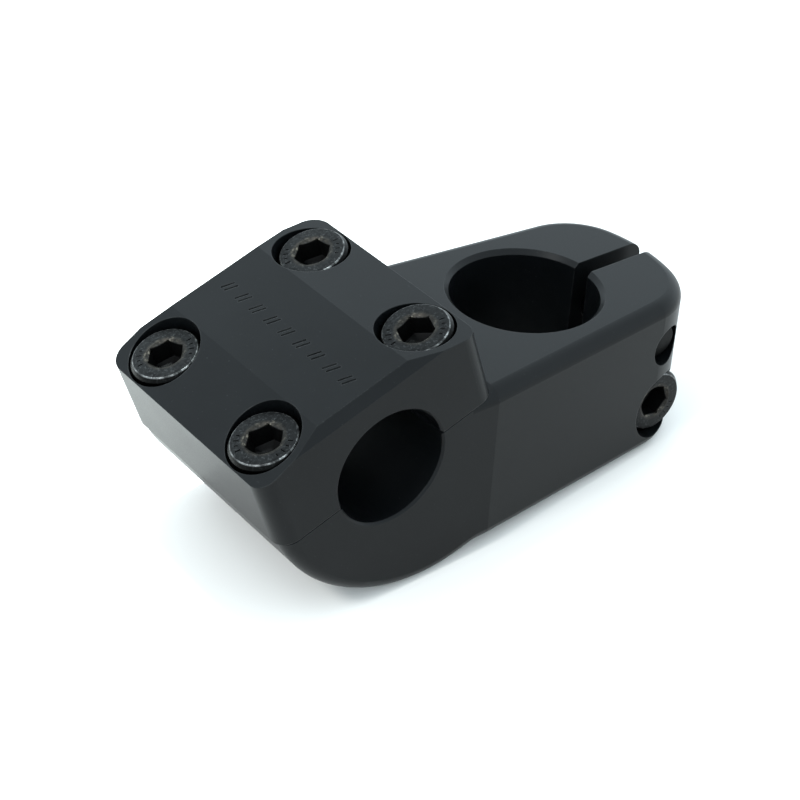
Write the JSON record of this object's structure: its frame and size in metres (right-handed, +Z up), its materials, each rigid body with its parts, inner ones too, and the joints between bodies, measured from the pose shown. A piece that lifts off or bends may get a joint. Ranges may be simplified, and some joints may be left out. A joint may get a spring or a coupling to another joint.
{
  "type": "top-load handlebar stem",
  "caption": "Black anodised top-load bicycle handlebar stem: blocky body with a round lobe, tilted bolted cap over the bar bore, split steerer clamp with pinch bolts.",
  "frame": {"origin": "centre of the steerer clamp bore, on its axis and halfway up its height", "axes": "+Z up the steerer axis, +X along the handlebar bore, -Y forward to the bar clamp"},
  "size_m": [0.0474, 0.1072, 0.05],
  "materials": {
    "anodised": "matte black anodised, fine blasted grain",
    "black_steel": "black oxide, worn to grey on the head faces"
  },
  "bodies": {
    "stem_body": {"body": "anodised"},
    "cap": {"top_cap": "anodised"},
    "bolt_front_left": {"cap_bolt_front_left": "black_steel"},
    "bolt_front_right": {"cap_bolt_front_right": "black_steel"},
    "bolt_rear_left": {"cap_bolt_rear_left": "black_steel"},
    "bolt_rear_right": {"cap_bolt_rear_right": "black_steel"},
    "pinch_upper": {"pinch_bolt_upper": "black_steel"},
    "pinch_lower": {"pinch_bolt_lower": "black_steel"}
  },
  "joints": [
    {"name": "cap_lift", "type": "slide", "parent": "stem_body", "child": "cap", "axis": [0, -0.3305, 0.9438], "range_m": [0, 0.01]},
    {"name": "turn_front_left", "type": "hinge", "parent": "cap", "child": "bolt_front_left", "pos_m": [-0.01525, -0.06696, 0.01079], "axis": [0, -0.3305, 0.9438], "range_deg": [0, 2882]},
    {"name": "turn_front_right", "type": "hinge", "parent": "cap", "child": "bolt_front_right", "pos_m": [0.01525, -0.06696, 0.01079], "axis": [0, -0.3305, 0.9438], "range_deg": [0, 2882]},
    {"name": "turn_rear_left", "type": "hinge", "parent": "cap", "child": "bolt_rear_left", "pos_m": [-0.01525, -0.03596, 0.02165], "axis": [0, -0.3305, 0.9438], "range_deg": [0, 2882]},
    {"name": "turn_rear_right", "type": "hinge", "parent": "cap", "child": "bolt_rear_right", "pos_m": [0.01525, -0.03596, 0.02165], "axis": [0, -0.3305, 0.9438], "range_deg": [0, 2882]},
    {"name": "turn_pinch_upper", "type": "hinge", "parent": "stem_body", "child": "pinch_upper", "pos_m": [-0.009, 0.0213, 0.0063], "axis": [-1, 0, 0], "range_deg": [0, 720]},
    {"name": "turn_pinch_lower", "type": "hinge", "parent": "stem_body", "child": "pinch_lower", "pos_m": [0.009, 0.0213, -0.0073], "axis": [1, 0, 0], "range_deg": [0, 720]}
  ],
  "couplings": [
    {"joint": "turn_front_left", "follows": "cap_lift", "rad_per_m": 5026.5},
    {"joint": "turn_front_right", "follows": "cap_lift", "rad_per_m": 5026.5},
    {"joint": "turn_rear_left", "follows": "cap_lift", "rad_per_m": 5026.5},
    {"joint": "turn_rear_right", "follows": "cap_lift", "rad_per_m": 5026.5}
  ]
}
